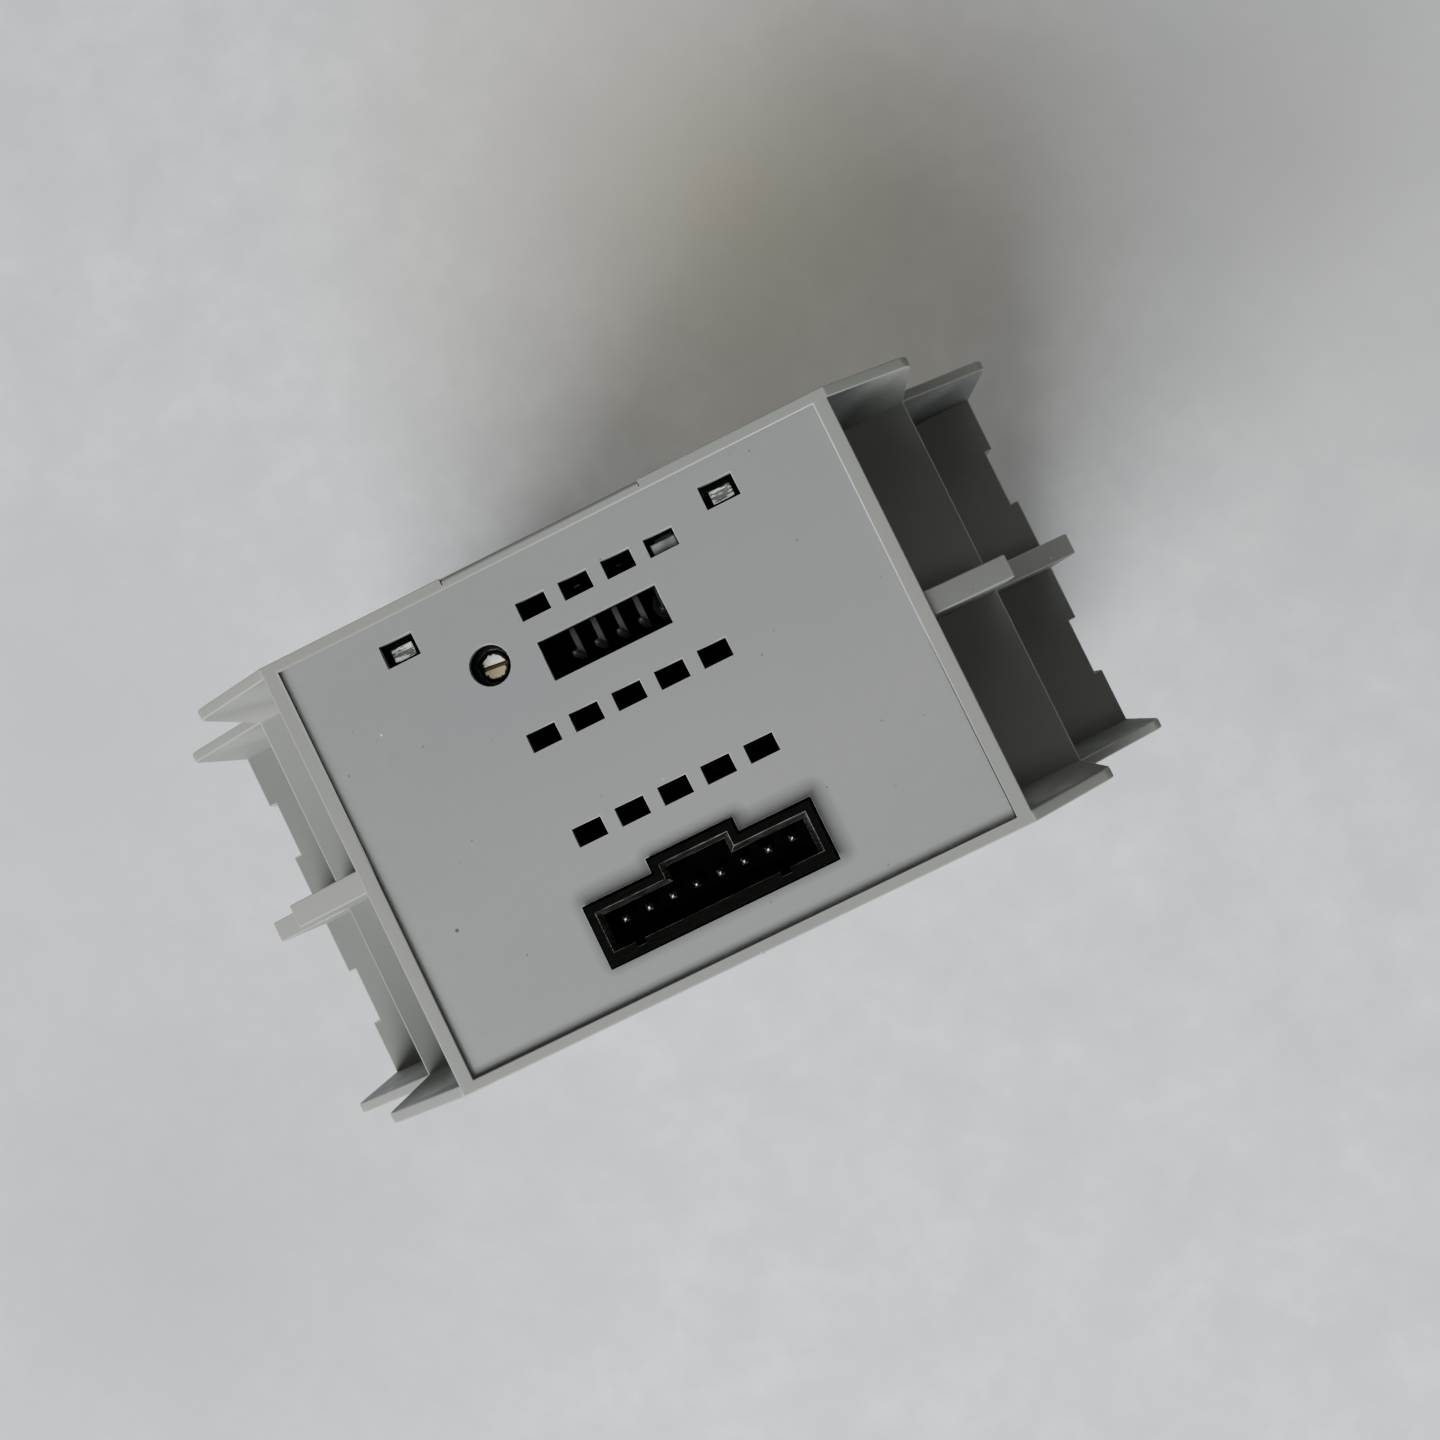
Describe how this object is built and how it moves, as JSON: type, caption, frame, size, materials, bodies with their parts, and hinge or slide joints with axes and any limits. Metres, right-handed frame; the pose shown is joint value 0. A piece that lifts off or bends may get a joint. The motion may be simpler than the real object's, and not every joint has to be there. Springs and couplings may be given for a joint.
{
  "type": "stepper driver module",
  "caption": "Narrow stepped electronics housing for a 35 mm rail, with a shrouded plug header, service header, trimmer and vents on its front panel.",
  "frame": {"origin": "centre of the housing's footprint, on the back plane that the feet stand on", "axes": "+Z out of the front panel; X along the 99 mm side, +X towards the fixed rail hook; +Y across the 45 mm width and along the rail, towards the lamp and trimmer side of the panel"},
  "size_m": [0.099, 0.045, 0.1145],
  "materials": {
    "housing_grey": "fine spark-eroded texture",
    "panel_grey": "smooth matte",
    "latch_grey": "smooth matte",
    "black_plastic": "satin",
    "clear_plastic": "frosted clear",
    "film_grey": "smooth",
    "trimmer_blue": "smooth",
    "ceramic": "unglazed",
    "board_green": "solder mask",
    "brass": "turned",
    "tin": "dull tin plate",
    "steel": "zinc plated",
    "aluminium": "extruded",
    "capacitor_sleeve": "shrink sleeve"
  },
  "bodies": {
    "housing": {"base_housing": "housing_grey", "board_spacer_1": "brass", "board_spacer_2": "brass", "bulk_capacitor_1": "capacitor_sleeve", "bulk_capacitor_2": "capacitor_sleeve", "control_board": "board_green", "crystal": "tin", "driver_ic_left": "black_plastic", "driver_ic_right": "black_plastic", "driver_screw_left": "steel", "driver_screw_right": "steel", "film_capacitor": "film_grey", "front_panel": "panel_grey", "heat_sink": "aluminium", "latch_spring": "steel", "link_board": "board_green", "link_socket_control": "black_plastic", "link_socket_power": "black_plastic", "microcontroller": "black_plastic", "motor_header_shell": "black_plastic", "motor_pin_1": "tin", "motor_pin_2": "tin", "motor_pin_3": "tin", "motor_pin_4": "tin", "motor_pin_5": "tin", "motor_pin_6": "tin", "motor_pin_7": "tin", "motor_pin_8": "tin", "power_board": "board_green", "sense_resistor_1": "ceramic", "sense_resistor_2": "ceramic", "service_header_body": "black_plastic", "service_pin_1": "tin", "service_pin_2": "tin", "service_pin_3": "tin", "service_pin_4": "tin", "service_pin_5": "tin", "spacer_screw_1": "steel", "spacer_screw_2": "steel", "spacer_screw_3": "steel", "spacer_screw_4": "steel", "status_led_left": "clear_plastic", "status_led_right": "clear_plastic", "trimmer_body": "trimmer_blue", "upper_housing": "housing_grey", "voltage_regulator": "black_plastic"},
    "latch": {"rail_latch": "latch_grey"},
    "rotor": {"trimmer_rotor": "brass"}
  },
  "joints": [
    {"name": "latch_slide", "type": "slide", "parent": "housing", "child": "latch", "axis": [-1, 0, 0], "range_m": [0, 0.0035], "stiffness_N_per_m": 800, "springref_m": -0.002, "deforming": ["latch_spring"]},
    {"name": "trimmer_turn", "type": "hinge", "parent": "housing", "child": "rotor", "pos_m": [-0.00974, 0.01305, 0.11], "axis": [0, 0, 1], "range_deg": [-135, 135]}
  ]
}
